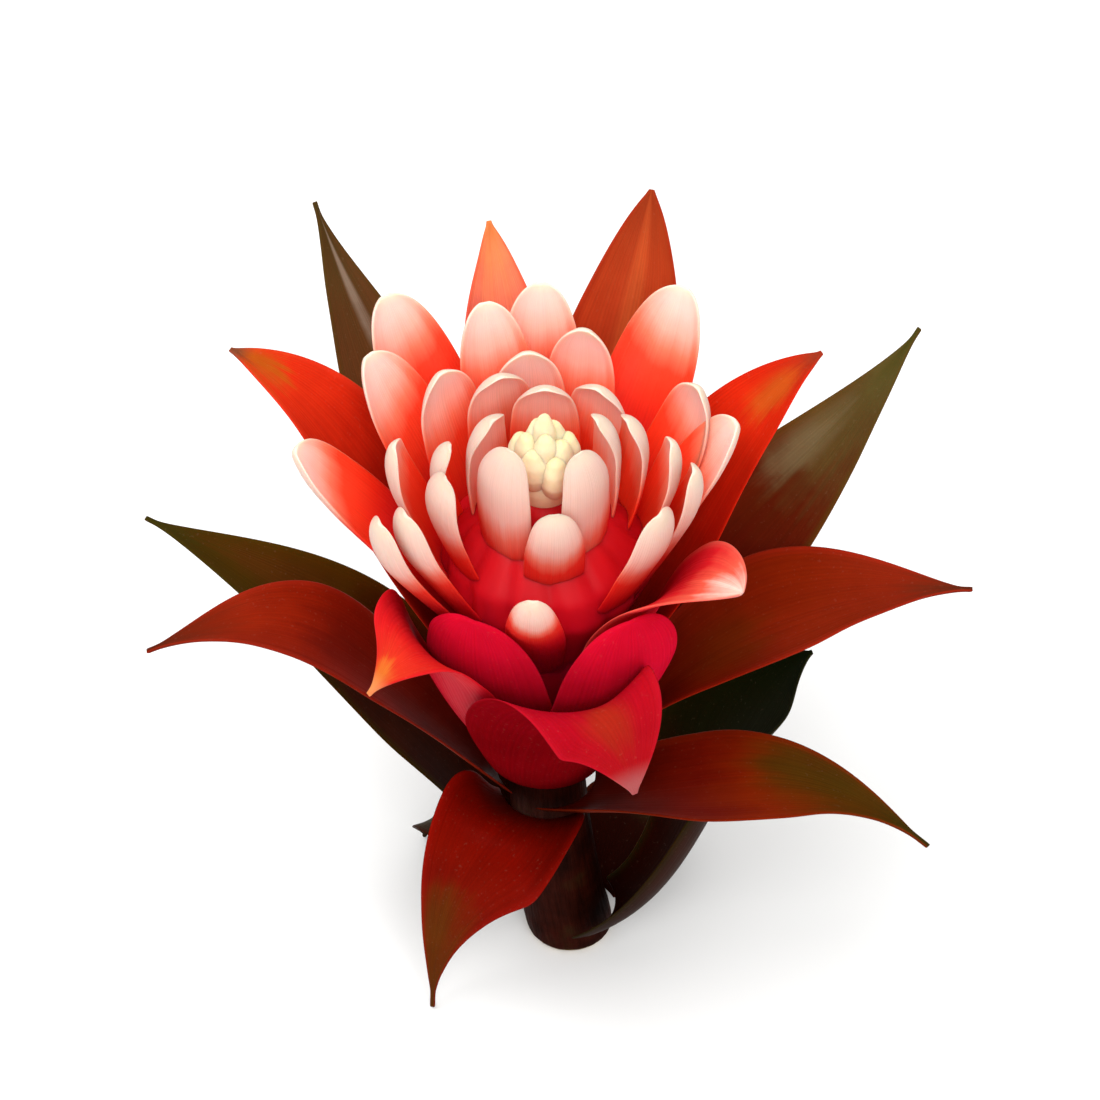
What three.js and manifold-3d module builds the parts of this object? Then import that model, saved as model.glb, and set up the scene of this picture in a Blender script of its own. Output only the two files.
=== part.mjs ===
// The cut flower head of a guzmania, standing on the cut end of its stem.
// Millimetres, +Z up. The origin is the middle of the plant's bounding box, on the surface
// that the cut face stands on. The photographed side faces -Y.
import * as THREE from "three";
import { mergeVertices } from "three/addons/utils/BufferGeometryUtils.js";
import Module from "manifold-3d";

const wasm = await Module();
wasm.setup();

// Where the middle of the cut face stands. The plant is drawn round it and then moved there.
const CUT_FACE = [3.3, -14.59, 0];

// The stem bows near its foot, so the head's axis stands a little towards -X of the cut face.
const HEAD_OFFSET = 5;
const BOW_HEIGHT = 60;

// Each bract stands a golden turn round from the one below it. Degrees.
const FIRST_AZIMUTH = 117.5;
const GOLDEN_TURN = 137.5;

// The bare stem from the cut face up: height and radius. The first ring is the cut's bevel.
const STEM_PROFILE = [
  [0, 7.8],
  [0.8, 8.6],
  [5, 8.6],
  [8, 8.3],
  [24, 7.9],
  [34, 7.6],
  [50, 7.4],
];
const STEM_SIDES = 20;

// The receptacle that the white-tipped bracts crowd round: radius and height, from below.
const CORE_PROFILE = [
  [0, 50.4],
  [7.3, 50.4],
  [7, 61],
  [8, 66],
  [10.5, 71.5],
  [12.5, 76],
  [13.5, 83],
  [13, 92],
  [11, 104],
  [8.5, 114],
  [6, 119],
  [0, 120.5],
];
const CORE_SIDES = 16;

// The lower parts of the white-tipped bracts are packed tight: that mass, radius and height.
const PACKING_PROFILE = [
  [0, 72],
  [11, 73],
  [11.6, 79],
  [13.3, 86],
  [15.7, 93],
  [19.2, 101],
  [18.3, 107],
  [13.5, 112.5],
  [8.5, 116],
  [0, 117],
];
const PACKING_SIDES = 24;

// The clasping bases sit closer to the middle the higher they grow.
const LEAF_ROOT_RADIUS = 9.3;
const RED_ROOT_RADIUS = 9.6;
const RED_ROOT_STEP = 0.12;
const FIRST_RED_RANK = 12;
const WHITE_ROOT_DEPTH = 2.5;
const WHITE_LOWEST_ROOT = 62;
const WHITE_ROOT_CLIMB = 44;
const WHITE_OUTER_REACH = 50;
const WHITE_LOWEST_RISE = 66;
const WHITE_RISE_GAIN = 16;

// The slope at the tip of a white-tipped bract, by how far out the tip stands.
const OUTER_TIP = { beyond: 35, fall: 44 };
const MIDDLE_TIP = { beyond: 20, fall: 80 };
const INNER_TIP_FALL = 104;

const LEAF_THICKNESS = 1.1;
const RED_THICKNESS = 1.0;
const WHITE_THICKNESS = 1.0;
const EDGE_SHARE = 0.7;
const TIGHTEST_BEND = 1.5;

// Places along a bract, as shares of its length or of the part beyond its widest place.
const SHEATH_END = 0.35;
const BLADE_START = 0.4;
const CURL_START = 0.75;

const LEAF_ROWS = 14;
const RED_ROWS = 12;
const WHITE_ROWS = 10;
const BLADE_COLUMNS = 4;

// The rows of a blade stand closer together towards its tip by this power.
const TIP_CROWDING = 1.3;

// The buds: a low dome, and plump buds on it whose outline is given in shares of their size.
const BUD_DOME = [
  [0, 117],
  [4.6, 117.5],
  [5.2, 122],
  [4.4, 127],
  [0, 132],
];
const BUD_OUTLINE = [
  [0, 0],
  [0.7, 0.12],
  [1, 0.42],
  [0.85, 0.7],
  [0.45, 0.92],
  [0, 1],
];

// The buds further out are thicker, stand lower and lean outward.
const BUD_RADIUS = 2.2;
const BUD_SWELLING = 0.22;
const BUD_LENGTH = 10;
const BUD_COUNT = 11;
const BUD_SIDES = 8;
const BUD_SPREAD = 3.9;
const BUD_FOOT = 128;
const BUD_FOOT_DROP = 1.7;
const BUD_LEAN = 1.6;

// The room that the buds take, a little larger than they are, kept free of bracts.
const BUD_ROOM = [
  [0, 116.5],
  [5.6, 117],
  [7.1, 122],
  [8, 128.5],
  [7.6, 132],
  [5.9, 137],
  [0, 141],
];

// What the bracts of each kind share, unless their row says otherwise:
// swing turns the tip sideways from the root and veer turns the blade's own heading,
// out and over are how far the slopes at the root and the tip hold, in shares of the length,
// neck is the width of the clasping base as a share of the widest, which comes at widest,
// belly and point shape the outline towards the tip, and tipHalf is half the tip's width,
// bend is half the arc across the blade in its middle and at its tip, in degrees,
// loose opens the clasping base, and incurve pulls the tip inward.
const LEAF_FORM = {
  swing: 0,
  veer: 0,
  out: 0.35,
  over: 0.35,
  neck: 0.62,
  widest: 0.42,
  belly: 2,
  point: 1.3,
  bend: [24, 36],
  loose: 1,
  tipHalf: 0.5,
  incurve: 0,
  rootRadius: LEAF_ROOT_RADIUS,
  thickness: LEAF_THICKNESS,
};

const RED_FORM = {
  ...LEAF_FORM,
  out: 0.4,
  over: 0.3,
  neck: 0.75,
  widest: 0.45,
  point: 0.9,
  bend: [28, 45],
  thickness: RED_THICKNESS,
};

const WHITE_FORM = {
  ...RED_FORM,
  out: 0.35,
  over: 0.25,
  widest: 0.58,
  belly: 3,
  point: 0.5,
  bend: [34, 54],
  tipHalf: 1,
  incurve: 3,
  thickness: WHITE_THICKNESS,
};

// Leaf bracts from the lowest up: dark and long, with an olive point. Three droop to the floor.
// rank is the place in the spiral and turn the departure from it, root the height of the root,
// reach and tip the tip's distance from the head's axis and its height,
// rise and fall the slopes at the root and at the tip, and half is half the width.
const LEAVES = [
  {
    rank: 0, turn: 20, root: 4, reach: 33, tip: 0.1, rise: 52, fall: -80, half: 11,
    out: 0.75, over: 0.45, rootRadius: 9.8, neck: 0.5,
  },
  {
    rank: 3, turn: -14, root: 2, reach: 34, tip: 0.1, rise: 42, fall: -80, half: 12,
    out: 0.8, over: 0.45, rootRadius: 9.8, neck: 0.4,
  },
  {
    rank: 5, turn: 6, root: 16, reach: 82, tip: 82, rise: 66, fall: 12, half: 15,
    swing: 2, out: 0.45, over: 0.4, rootRadius: 9.5,
  },
  {
    rank: 6, turn: -37, root: 6, reach: 55.5, tip: 56, rise: 47, fall: 30, half: 22.5,
    swing: 46, veer: 40, out: 0.5, rootRadius: 9.8, widest: 0.6, neck: 0.48, belly: 2.4,
    bend: [46, 38],
  },
  {
    rank: 7, turn: 17, root: 40.5, reach: 31, tip: 0.1, rise: 40, fall: -86, half: 16,
    swing: -27, out: 0.5, over: 0.65, neck: 0.69, widest: 0.26, belly: 1.1, bend: [40, 40],
  },
  {
    rank: 8, turn: -16, root: 42, reach: 78, tip: 106, rise: 54, fall: 55, half: 13,
    swing: -4,
  },
  {
    rank: 9, turn: 0, root: 43.5, reach: 76, tip: 52, rise: 34, fall: -14, half: 14.2,
    swing: 20, out: 0.5, over: 0.45, neck: 0.78, widest: 0.36, belly: 1.5, point: 1.45,
  },
  {
    rank: 10, turn: 2, root: 45.2, reach: 74, tip: 78, rise: 50, fall: -26, half: 12.5,
    swing: -4, out: 0.65, over: 0.5,
  },
  {
    rank: 11, turn: -8, root: 47, reach: 89, tip: 110, rise: 54, fall: 50, half: 16,
    belly: 1.6, bend: [18, 30],
  },
  {
    rank: 13, turn: -12, root: 49.8, reach: 88, tip: 122, rise: 58, fall: 52, half: 12.5,
    swing: 2,
  },
  {
    rank: 14, turn: 6, root: 51.8, reach: 80, tip: 86, rise: 55, fall: 0, half: 15.5,
    swing: 7, out: 0.48, over: 0.45, neck: 0.52, widest: 0.52, belly: 1.9, point: 1.4,
  },
];

// Red bracts: broad, clasping the head, their points curling out or down.
const RED_BRACTS = [
  {
    rank: 12, turn: -2, root: 49.9, reach: 48, tip: 88, rise: 54, fall: -65, half: 17.5,
    swing: 24, veer: 30, out: 0.85, over: 0.6, neck: 0.74, loose: 1.25, bend: [33, 12],
  },
  {
    rank: 15, turn: 5, root: 53.4, reach: 45, tip: 100, rise: 57, fall: -42, half: 15.5,
    swing: 6, veer: -8, out: 0.78, over: 0.42, loose: 1.15, neck: 0.68, point: 1.25, bend: [33, 15],
  },
  {
    rank: 16, turn: 0, root: 54.8, reach: 71, tip: 132, rise: 56, fall: 58, half: 13.5,
    swing: -4, point: 0.8,
  },
  {
    rank: 17, turn: 0, root: 56.2, reach: 30.2, tip: 112.5, rise: 60, fall: 100, half: 13.5,
    out: 0.4, over: 0.38, widest: 0.6, neck: 0.52, belly: 3, point: 0.5, bend: [38, 33],
  },
  {
    rank: 18, turn: -7, root: 57.6, reach: 65, tip: 126, rise: 62, fall: 10, half: 12.5,
    swing: -3, out: 0.45, bend: [24, 40],
  },
  {
    rank: 19, turn: 3, root: 59, reach: 58, tip: 127, rise: 61, fall: 26, half: 13,
    swing: 1, out: 0.42, bend: [24, 40],
  },
  {
    rank: 20, turn: -5, root: 60.6, reach: 28.9, tip: 112.5, rise: 61, fall: 98, half: 13,
    swing: 2, out: 0.4, over: 0.38, widest: 0.6, neck: 0.47, belly: 3, point: 0.5, bend: [36, 34],
  },
  {
    rank: 21, turn: -7, root: 62.3, reach: 60, tip: 132, rise: 66, fall: 60, half: 11,
    swing: -3, bend: [38, 45],
  },
  {
    rank: 22, turn: -13.6, root: 63.6, reach: 43, tip: 118.5, rise: 60, fall: 12, half: 13.5,
    swing: 5, neck: 0.56, over: 0.38, widest: 0.6, belly: 2.4, point: 0.65, bend: [30, 24],
  },
];

// White-tipped bracts: rank, turn, reach, tip height and half width.
const WHITE_BRACTS = [
  [23, -19, 45, 126, 9.5],
  [24, 2, 51, 129, 10],
  [25, -14, 29.5, 120.5, 5.8],
  [26, -17, 51, 129, 10],
  [27, 10, 36, 127, 8.5],
  [28, -19, 33, 126, 8],
  [29, 1, 44, 130, 9],
  [30, 12, 25, 127, 8],
  [31, -33, 41, 129, 9],
  [32, -5, 33, 128, 8.4],
  [34, -16, 39, 131, 8.4],
  [35, 8, 27, 127, 7.8],
  [36, 5, 29, 128, 8],
  [37, 7, 32, 130, 7.8],
  [38, -15, 13.5, 126, 6],
  [39, -21, 27, 130, 8.4],
  [40, -13, 23, 129, 7.2],
  [41, -10, 9.6, 136, 6.8],
  [42, -5, 24, 131, 8],
  [43, -12, 9, 134.5, 6.4],
  [44, -10, 27, 129, 7.6],
  [45, 6, 17, 131, 7.4],
  [47, -20, 19, 131, 7.4],
  [48, 23, 16, 131, 6.6],
  [49, -17, 19, 129, 7.4],
  [50, 7, 13, 132, 7],
  [52, 13, 17, 130, 5.6],
  [53, -8, 10.2, 133, 6],
  [60, 2, 11, 131, 7.2],
];

const radians = THREE.MathUtils.degToRad;
const smooth = (x) => THREE.MathUtils.smoothstep(x, 0, 1);
const azimuthOf = (rank, turn) => FIRST_AZIMUTH - GOLDEN_TURN * rank + turn;

// How far the middle of the plant stands along X at a height: nothing at the cut face.
function axisAt(height) {
  const below = Math.max(0, 1 - height / BOW_HEIGHT);
  return HEAD_OFFSET * (below * below - 1);
}

function around(centre, azimuth, radius, height) {
  const a = radians(azimuth);
  return new THREE.Vector3(centre + radius * Math.cos(a), radius * Math.sin(a), height);
}

function heading(azimuth, slope) {
  const a = radians(azimuth);
  const s = radians(slope);
  return new THREE.Vector3(Math.cos(a) * Math.cos(s), Math.sin(a) * Math.cos(s), Math.sin(s));
}

// The midrib of a bract, from its root on the stem to its tip.
function midribOf(form) {
  const root = around(axisAt(form.root), form.azimuth, form.rootRadius, form.root);
  const tip = around(-HEAD_OFFSET, form.azimuth + form.swing, form.reach, form.tip);
  const length = root.distanceTo(tip);
  const leave = heading(form.azimuth, form.rise).multiplyScalar(form.out * length);
  const arrive = heading(form.azimuth + form.veer, form.fall).multiplyScalar(form.over * length);
  return new THREE.CubicBezierCurve3(root, root.clone().add(leave), tip.clone().sub(arrive), tip);
}

// Half the blade's width along it, as a share of its widest.
function taper(form, t) {
  if (t < form.widest) return form.neck + (1 - form.neck) * smooth(t / form.widest);
  const x = (t - form.widest) / (1 - form.widest);
  return Math.pow(Math.max(0, 1 - Math.pow(x, form.belly)), form.point);
}

// Half the arc that the blade's cross-section bends through: it clasps the stem at the root,
// is flatter along the blade, and folds again towards the tip.
function bendOf(form, t) {
  const root = (form.half * form.neck) / (form.rootRadius * form.loose);
  const [blade, tip] = form.bend.map(radians);
  if (t < BLADE_START) return root + (blade - root) * smooth(t / BLADE_START);
  return blade + (tip - blade) * smooth((t - BLADE_START) / (1 - BLADE_START));
}

// A point of the blade's middle surface and the normal there. across runs from -1 to 1.
// The arc lies level round the stem at the root, and square to the midrib beyond the sheath.
function bladePoint(form, midrib, t, across) {
  const along = midrib.getTangent(t);
  const a = radians(form.azimuth + form.veer * t);
  const side = new THREE.Vector3(-Math.sin(a), Math.cos(a), 0);
  side.addScaledVector(along, -side.dot(along)).normalize();
  const inward = new THREE.Vector3().crossVectors(along, side);
  const level = new THREE.Vector3(0, 0, 1).cross(side);
  const hollow = level.lerp(inward, smooth(t / SHEATH_END)).normalize();
  const half = Math.max(form.half * taper(form, t), form.tipHalf);
  const radius = Math.max(half / bendOf(form, t), TIGHTEST_BEND * form.thickness);
  const angle = (across * half) / radius;
  const curl = Math.max(0, (t - CURL_START) / (1 - CURL_START));
  const point = midrib
    .getPoint(t)
    .addScaledVector(inward, form.incurve * curl * curl)
    .addScaledVector(side, radius * Math.sin(angle))
    .addScaledVector(hollow, radius * (1 - Math.cos(angle)));
  const normal = inward.multiplyScalar(Math.cos(angle)).addScaledVector(side, -Math.sin(angle));
  return { point, normal };
}

// A closed blade: the middle surface thickened both ways, with a rim all round.
// Both faces are split into triangles alike.
function bladeGeometry(form, rows) {
  const columns = BLADE_COLUMNS;
  const midrib = midribOf(form);
  const faceSize = (rows + 1) * (columns + 1);
  const places = new Float32Array(faceSize * 2 * 3);
  const at = (i, j) => i * (columns + 1) + j;
  for (let i = 0; i <= rows; i += 1) {
    const along = 1 - Math.pow(1 - i / rows, TIP_CROWDING);
    for (let j = 0; j <= columns; j += 1) {
      const across = (2 * j) / columns - 1;
      const { point, normal } = bladePoint(form, midrib, along, across);
      const half = (form.thickness / 2) * (1 - (1 - EDGE_SHARE) * across * across);
      point.clone().addScaledVector(normal, half).toArray(places, at(i, j) * 3);
      point.addScaledVector(normal, -half).toArray(places, (faceSize + at(i, j)) * 3);
    }
  }
  const faces = [];
  for (let i = 0; i < rows; i += 1) {
    for (let j = 0; j < columns; j += 1) {
      const corners = [at(i, j), at(i + 1, j), at(i + 1, j + 1), at(i, j + 1)];
      const [a, b, c, d] = corners;
      faces.push(a, b, c, a, c, d);
      const [e, f, g, h] = corners.map((index) => index + faceSize);
      faces.push(e, g, f, e, h, g);
    }
  }
  const rim = [];
  for (let j = 0; j < columns; j += 1) rim.push(at(0, j));
  for (let i = 0; i < rows; i += 1) rim.push(at(i, columns));
  for (let j = columns; j > 0; j -= 1) rim.push(at(rows, j));
  for (let i = rows; i > 0; i -= 1) rim.push(at(i, 0));
  rim.forEach((here, index) => {
    const next = rim[(index + 1) % rim.length];
    faces.push(here, next, next + faceSize, here, next + faceSize, here + faceSize);
  });
  const geometry = new THREE.BufferGeometry();
  geometry.setAttribute("position", new THREE.BufferAttribute(places, 3));
  geometry.setIndex(faces);
  return geometry;
}

// A turned shape about the vertical: pairs of radius and height, from below.
function turned(profile, sides) {
  const points = profile.map(([radius, height]) => new THREE.Vector2(radius, height));
  return new THREE.LatheGeometry(points, sides).rotateX(Math.PI / 2);
}

function solidOf(geometry) {
  const bare = new THREE.BufferGeometry();
  bare.setAttribute("position", geometry.getAttribute("position"));
  bare.setIndex(geometry.index);
  const merged = mergeVertices(bare, 1e-4);
  return new wasm.Manifold(
    new wasm.Mesh({
      numProp: 3,
      vertProperties: merged.getAttribute("position").array,
      triVerts: new Uint32Array(merged.index.array),
    }),
  );
}

function geometryOf(solid) {
  const mesh = solid.getMesh();
  const geometry = new THREE.BufferGeometry();
  geometry.setAttribute("position", new THREE.BufferAttribute(mesh.vertProperties, 3));
  geometry.setIndex(new THREE.BufferAttribute(mesh.triVerts, 1));
  return geometry;
}

function leafForm(row) {
  return { ...LEAF_FORM, azimuth: azimuthOf(row.rank, row.turn), ...row };
}

function redForm(row) {
  const rootRadius = RED_ROOT_RADIUS - RED_ROOT_STEP * (row.rank - FIRST_RED_RANK);
  return { ...RED_FORM, azimuth: azimuthOf(row.rank, row.turn), rootRadius, ...row };
}

function tipFall(reach) {
  if (reach > OUTER_TIP.beyond) return OUTER_TIP.fall;
  return reach > MIDDLE_TIP.beyond ? MIDDLE_TIP.fall : INNER_TIP_FALL;
}

function coreRadiusAt(height) {
  const above = CORE_PROFILE.findIndex(([, level]) => level > height);
  const [lowRadius, low] = CORE_PROFILE[above - 1];
  const [highRadius, high] = CORE_PROFILE[above];
  return lowRadius + ((highRadius - lowRadius) * (height - low)) / (high - low);
}

// A white-tipped bract grows higher on the receptacle, and stands steeper, the less it reaches.
// Its row gives the place of the tip after the inward curl, so the curl is taken off here.
function whiteForm([rank, turn, reach, tip, half]) {
  const inner = 1 - Math.min(reach, WHITE_OUTER_REACH) / WHITE_OUTER_REACH;
  const root = WHITE_LOWEST_ROOT + WHITE_ROOT_CLIMB * inner;
  const fall = tipFall(reach);
  return {
    ...WHITE_FORM,
    azimuth: azimuthOf(rank, turn),
    reach: reach + WHITE_FORM.incurve * Math.sin(radians(fall)),
    tip: tip - WHITE_FORM.incurve * Math.cos(radians(fall)),
    half,
    root,
    rootRadius: coreRadiusAt(root) - WHITE_ROOT_DEPTH,
    rise: WHITE_LOWEST_RISE + WHITE_RISE_GAIN * inner,
    fall,
  };
}

// The bare stem: rings about the bowed axis, closed by the cut face and the top.
function stemGeometry() {
  const places = [];
  const faces = [];
  STEM_PROFILE.forEach(([height, radius]) => {
    for (let k = 0; k < STEM_SIDES; k += 1) {
      places.push(around(axisAt(height), (360 * k) / STEM_SIDES, radius, height));
    }
  });
  const [topHeight] = STEM_PROFILE.at(-1);
  const foot = places.push(new THREE.Vector3(0, 0, 0)) - 1;
  const top = places.push(new THREE.Vector3(axisAt(topHeight), 0, topHeight)) - 1;
  const last = (STEM_PROFILE.length - 1) * STEM_SIDES;
  for (let k = 0; k < STEM_SIDES; k += 1) {
    const next = (k + 1) % STEM_SIDES;
    faces.push(foot, next, k);
    faces.push(top, last + k, last + next);
    for (let ring = 0; ring < last; ring += STEM_SIDES) {
      faces.push(ring + k, ring + next, ring + STEM_SIDES + next);
      faces.push(ring + k, ring + STEM_SIDES + next, ring + STEM_SIDES + k);
    }
  }
  const geometry = new THREE.BufferGeometry().setFromPoints(places);
  geometry.setIndex(faces);
  return geometry;
}

// The cream buds at the heart: a low dome with plump buds on it, by the same golden turn.
function budSolid() {
  const dome = turned(BUD_DOME, CORE_SIDES).translate(-HEAD_OFFSET, 0, 0);
  const solids = [solidOf(dome)];
  for (let k = 0; k < BUD_COUNT; k += 1) {
    const out = BUD_SPREAD * Math.sqrt(k / (BUD_COUNT - 1));
    const widest = BUD_RADIUS + BUD_SWELLING * out;
    const outline = BUD_OUTLINE.map(([radius, height]) => [radius * widest, height * BUD_LENGTH]);
    const bud = turned(outline, BUD_SIDES);
    bud.rotateY(radians(BUD_LEAN * out));
    bud.translate(out, 0, BUD_FOOT - BUD_FOOT_DROP * out);
    bud.rotateZ(radians(GOLDEN_TURN * k));
    bud.translate(-HEAD_OFFSET, 0, 0);
    solids.push(solidOf(bud));
  }
  return wasm.Manifold.union(solids);
}

// The receptacle, the packed mass and the white-tipped bracts that stand out of it, as one body.
// The buds' room is cut out of it.
function headSolid() {
  const core = turned(CORE_PROFILE, CORE_SIDES).translate(-HEAD_OFFSET, 0, 0);
  const packing = turned(PACKING_PROFILE, PACKING_SIDES).translate(-HEAD_OFFSET, 0, 0);
  const room = turned(BUD_ROOM, CORE_SIDES).translate(-HEAD_OFFSET, 0, 0);
  const bracts = WHITE_BRACTS.map((row) => solidOf(bladeGeometry(whiteForm(row), WHITE_ROWS)));
  const whole = wasm.Manifold.union([solidOf(core), solidOf(packing), ...bracts]);
  return whole.subtract(solidOf(room));
}

const guzmania = new THREE.Group();
const plant = new THREE.Group();
plant.position.set(...CUT_FACE);
guzmania.add(plant);

function add(name, geometry, colour, roughness) {
  const material = new THREE.MeshStandardMaterial({ color: colour, roughness, metalness: 0 });
  const mesh = new THREE.Mesh(geometry, material);
  mesh.name = name;
  plant.add(mesh);
}

const numbered = (kind, index) => kind + "_" + String(index + 1).padStart(2, "0");

add("stem", stemGeometry(), 0x3a100c, 0.6);
LEAVES.forEach((row, index) => {
  add(numbered("leaf_bract", index), bladeGeometry(leafForm(row), LEAF_ROWS), 0x7a2416, 0.5);
});
RED_BRACTS.forEach((row, index) => {
  add(numbered("red_bract", index), bladeGeometry(redForm(row), RED_ROWS), 0xd62a1e, 0.5);
});
add("flower_head", geometryOf(headSolid()), 0xf05a46, 0.5);
add("bud_cluster", geometryOf(budSolid()), 0xfff0be, 0.55);

export default guzmania;
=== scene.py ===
"""A cut guzmania flower head: fine bracts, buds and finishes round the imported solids.

Every bract is one arched blade. Its midrib, outline and bend follow the solids' own rules, worked
in millimetres from the middle of the cut face, and are turned to metres when the blade is placed.
"""

import math

import bmesh
import bpy
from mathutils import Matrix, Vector, noise


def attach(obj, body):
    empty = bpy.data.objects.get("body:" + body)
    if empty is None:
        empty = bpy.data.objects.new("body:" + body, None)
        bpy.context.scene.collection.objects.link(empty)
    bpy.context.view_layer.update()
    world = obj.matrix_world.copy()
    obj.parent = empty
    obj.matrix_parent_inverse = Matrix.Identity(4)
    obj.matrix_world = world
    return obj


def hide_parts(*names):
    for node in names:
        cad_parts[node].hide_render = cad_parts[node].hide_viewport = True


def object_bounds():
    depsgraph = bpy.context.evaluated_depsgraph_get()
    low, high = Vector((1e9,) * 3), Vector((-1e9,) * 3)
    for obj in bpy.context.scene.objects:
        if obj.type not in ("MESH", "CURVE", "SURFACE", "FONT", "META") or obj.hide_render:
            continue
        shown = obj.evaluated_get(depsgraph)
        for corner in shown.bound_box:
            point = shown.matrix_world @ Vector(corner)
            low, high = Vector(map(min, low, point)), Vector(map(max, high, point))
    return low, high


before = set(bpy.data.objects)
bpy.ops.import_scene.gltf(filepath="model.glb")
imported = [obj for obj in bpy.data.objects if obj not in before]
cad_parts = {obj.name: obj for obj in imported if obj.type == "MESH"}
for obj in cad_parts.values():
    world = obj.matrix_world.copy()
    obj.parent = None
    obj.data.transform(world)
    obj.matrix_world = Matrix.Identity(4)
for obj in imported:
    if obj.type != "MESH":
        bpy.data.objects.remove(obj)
cad_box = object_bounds()

# A millimetre in the scene's metres.
MM = 0.001

# The plant's axis and spiral, in millimetres and degrees.
CUT_FACE = Vector((3.3, -14.59, 0))
HEAD_OFFSET = 5
BOW_HEIGHT = 60
FIRST_AZIMUTH = 117.5
GOLDEN_TURN = 137.5

# Places along a bract, as shares of its length.
SHEATH_END = 0.35
BLADE_START = 0.4
CURL_START = 0.75
HOOD_START = 0.82
HOOD_RUN = 0.12

# How much the rows of faces crowd towards the tip, and the tightest bend, in thicknesses.
TIP_CROWDING = 1.3
TIGHTEST_BEND = 1.6

# The ripple of a blade's free part: where it sets in and dies out, as shares of the length, how
# many waves fit along it, how much the noise is raised, and how far apart in the noise two bracts
# and two margins lie.
RIPPLE_START = 0.4
RIPPLE_RUN_IN = 0.25
RIPPLE_END = 0.9
RIPPLE_RUN_OUT = 0.1
RIPPLES_ALONG = 7
RIPPLE_GAIN = 2
BRACTS_APART = 3.7
MARGINS_APART = 2

# Outlines of the turned shapes: radius and height, in millimetres.
CORE_PROFILE = [
    (0, 50.4), (7.3, 50.4), (7, 61), (8, 66), (10.5, 71.5), (12.5, 76), (13.5, 83),
    (13, 92), (11, 104), (8.5, 114), (6, 119), (0, 120.5),
]
# The lower parts of the white-tipped bracts, packed tight.
PACKING_PROFILE = [
    (0, 72), (11, 73), (11.6, 79), (13.3, 86), (15.7, 93), (19.2, 101), (18.3, 107),
    (13.5, 112.5), (8.5, 116), (0, 117),
]
# The stem: height and radius.
STEM_PROFILE = [(0, 7.8), (0.8, 8.6), (5, 8.6), (8, 8.3), (24, 7.9), (34, 7.6), (50, 7.4)]
# The buds, the dome that they stand on and the room that the bracts leave them: radius and height,
# a bud's as shares of its own.
BUD_DOME = [(0, 117), (4.6, 117.5), (5.2, 122), (4.4, 127), (0, 132)]
BUD_OUTLINE = [(0, 0), (0.7, 0.12), (1, 0.42), (0.85, 0.7), (0.45, 0.92), (0, 1)]
BUD_ROOM = [(0, 116.5), (5.6, 117), (7.1, 122), (8, 128.5), (7.6, 132), (5.9, 137), (0, 141)]
BUD_RADIUS = 2.2
BUD_SWELLING = 0.22
BUD_LENGTH = 10
BUD_COUNT = 11
BUD_SPREAD = 3.9
BUD_FOOT = 128
BUD_FOOT_DROP = 1.7
BUD_LEAN = 1.6

# How a bract is shaped, in millimetres and degrees.
# rank, turn: its place in the spiral, and how far it is moved from there.
# root, reach, tip: the root's height, and the tip's distance from the axis and its height.
# rise, fall: the slopes at the root and the tip. out, over: how long the midrib keeps to each.
# swing, veer: how far to the side the tip stands, and points.
# half: half the widest width. neck: the root's width as a share of it. widest: where that is.
# belly, point: how full the blade stays towards its end, and how sharp it ends.
# bend: half the arc of the cross-section, in the blade and at the tip. loose: how far the sheath
# stands off. tip_half: half the tip's width. incurve: how far the tip hooks in.
# thick, rim: the thickness on the midrib and the margin. wave: the ripple. plump: the hood's swell.
LEAF_FORM = dict(
    swing=0, veer=0, out=0.35, over=0.35, neck=0.62, widest=0.42, belly=2, point=1.3,
    bend=(24, 36), loose=1, tip_half=0.5, incurve=0, root_radius=9.3,
    thick=0.9, rim=0.35, wave=0.2, plump=0,
)
RED_FORM = dict(
    LEAF_FORM, out=0.4, over=0.3, neck=0.75, widest=0.45, point=0.9, bend=(28, 45), thick=0.8,
)
WHITE_FORM = dict(
    RED_FORM, out=0.35, over=0.25, widest=0.58, belly=3, point=0.5, bend=(34, 54),
    tip_half=1, incurve=3, thick=0.9, rim=0.5, wave=0.12, plump=0.5,
)

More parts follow.
